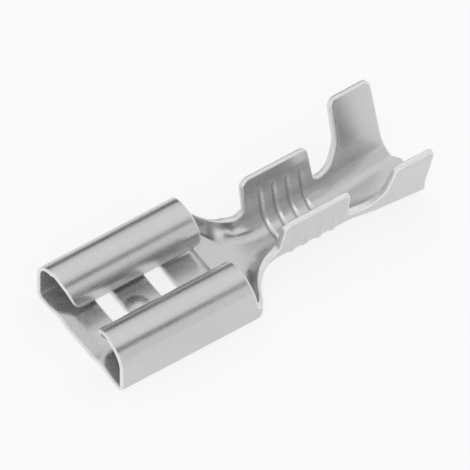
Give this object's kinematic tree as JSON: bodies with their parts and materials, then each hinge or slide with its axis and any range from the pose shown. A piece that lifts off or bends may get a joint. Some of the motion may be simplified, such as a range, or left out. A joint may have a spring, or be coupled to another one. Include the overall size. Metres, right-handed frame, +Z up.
{
  "type": "female spade terminal",
  "caption": "Open-barrel female spade terminal folded from thin plated sheet: curled receptacle for a flat tab, narrowing neck, serrated wire barrel and taller insulation barrel.",
  "frame": {"origin": "centre of the underside: half way along the terminal, on its middle plane, at the level it rests on", "axes": "+X from the mouth towards the wire end, +Y across, +Z up out of the open barrels"},
  "size_m": [0.0198, 0.0076, 0.005],
  "materials": {
    "plated_sheet": "satin tin plate over brass strip"
  },
  "bodies": {
    "root": {"folded_terminal": "plated_sheet"}
  },
  "joints": []
}
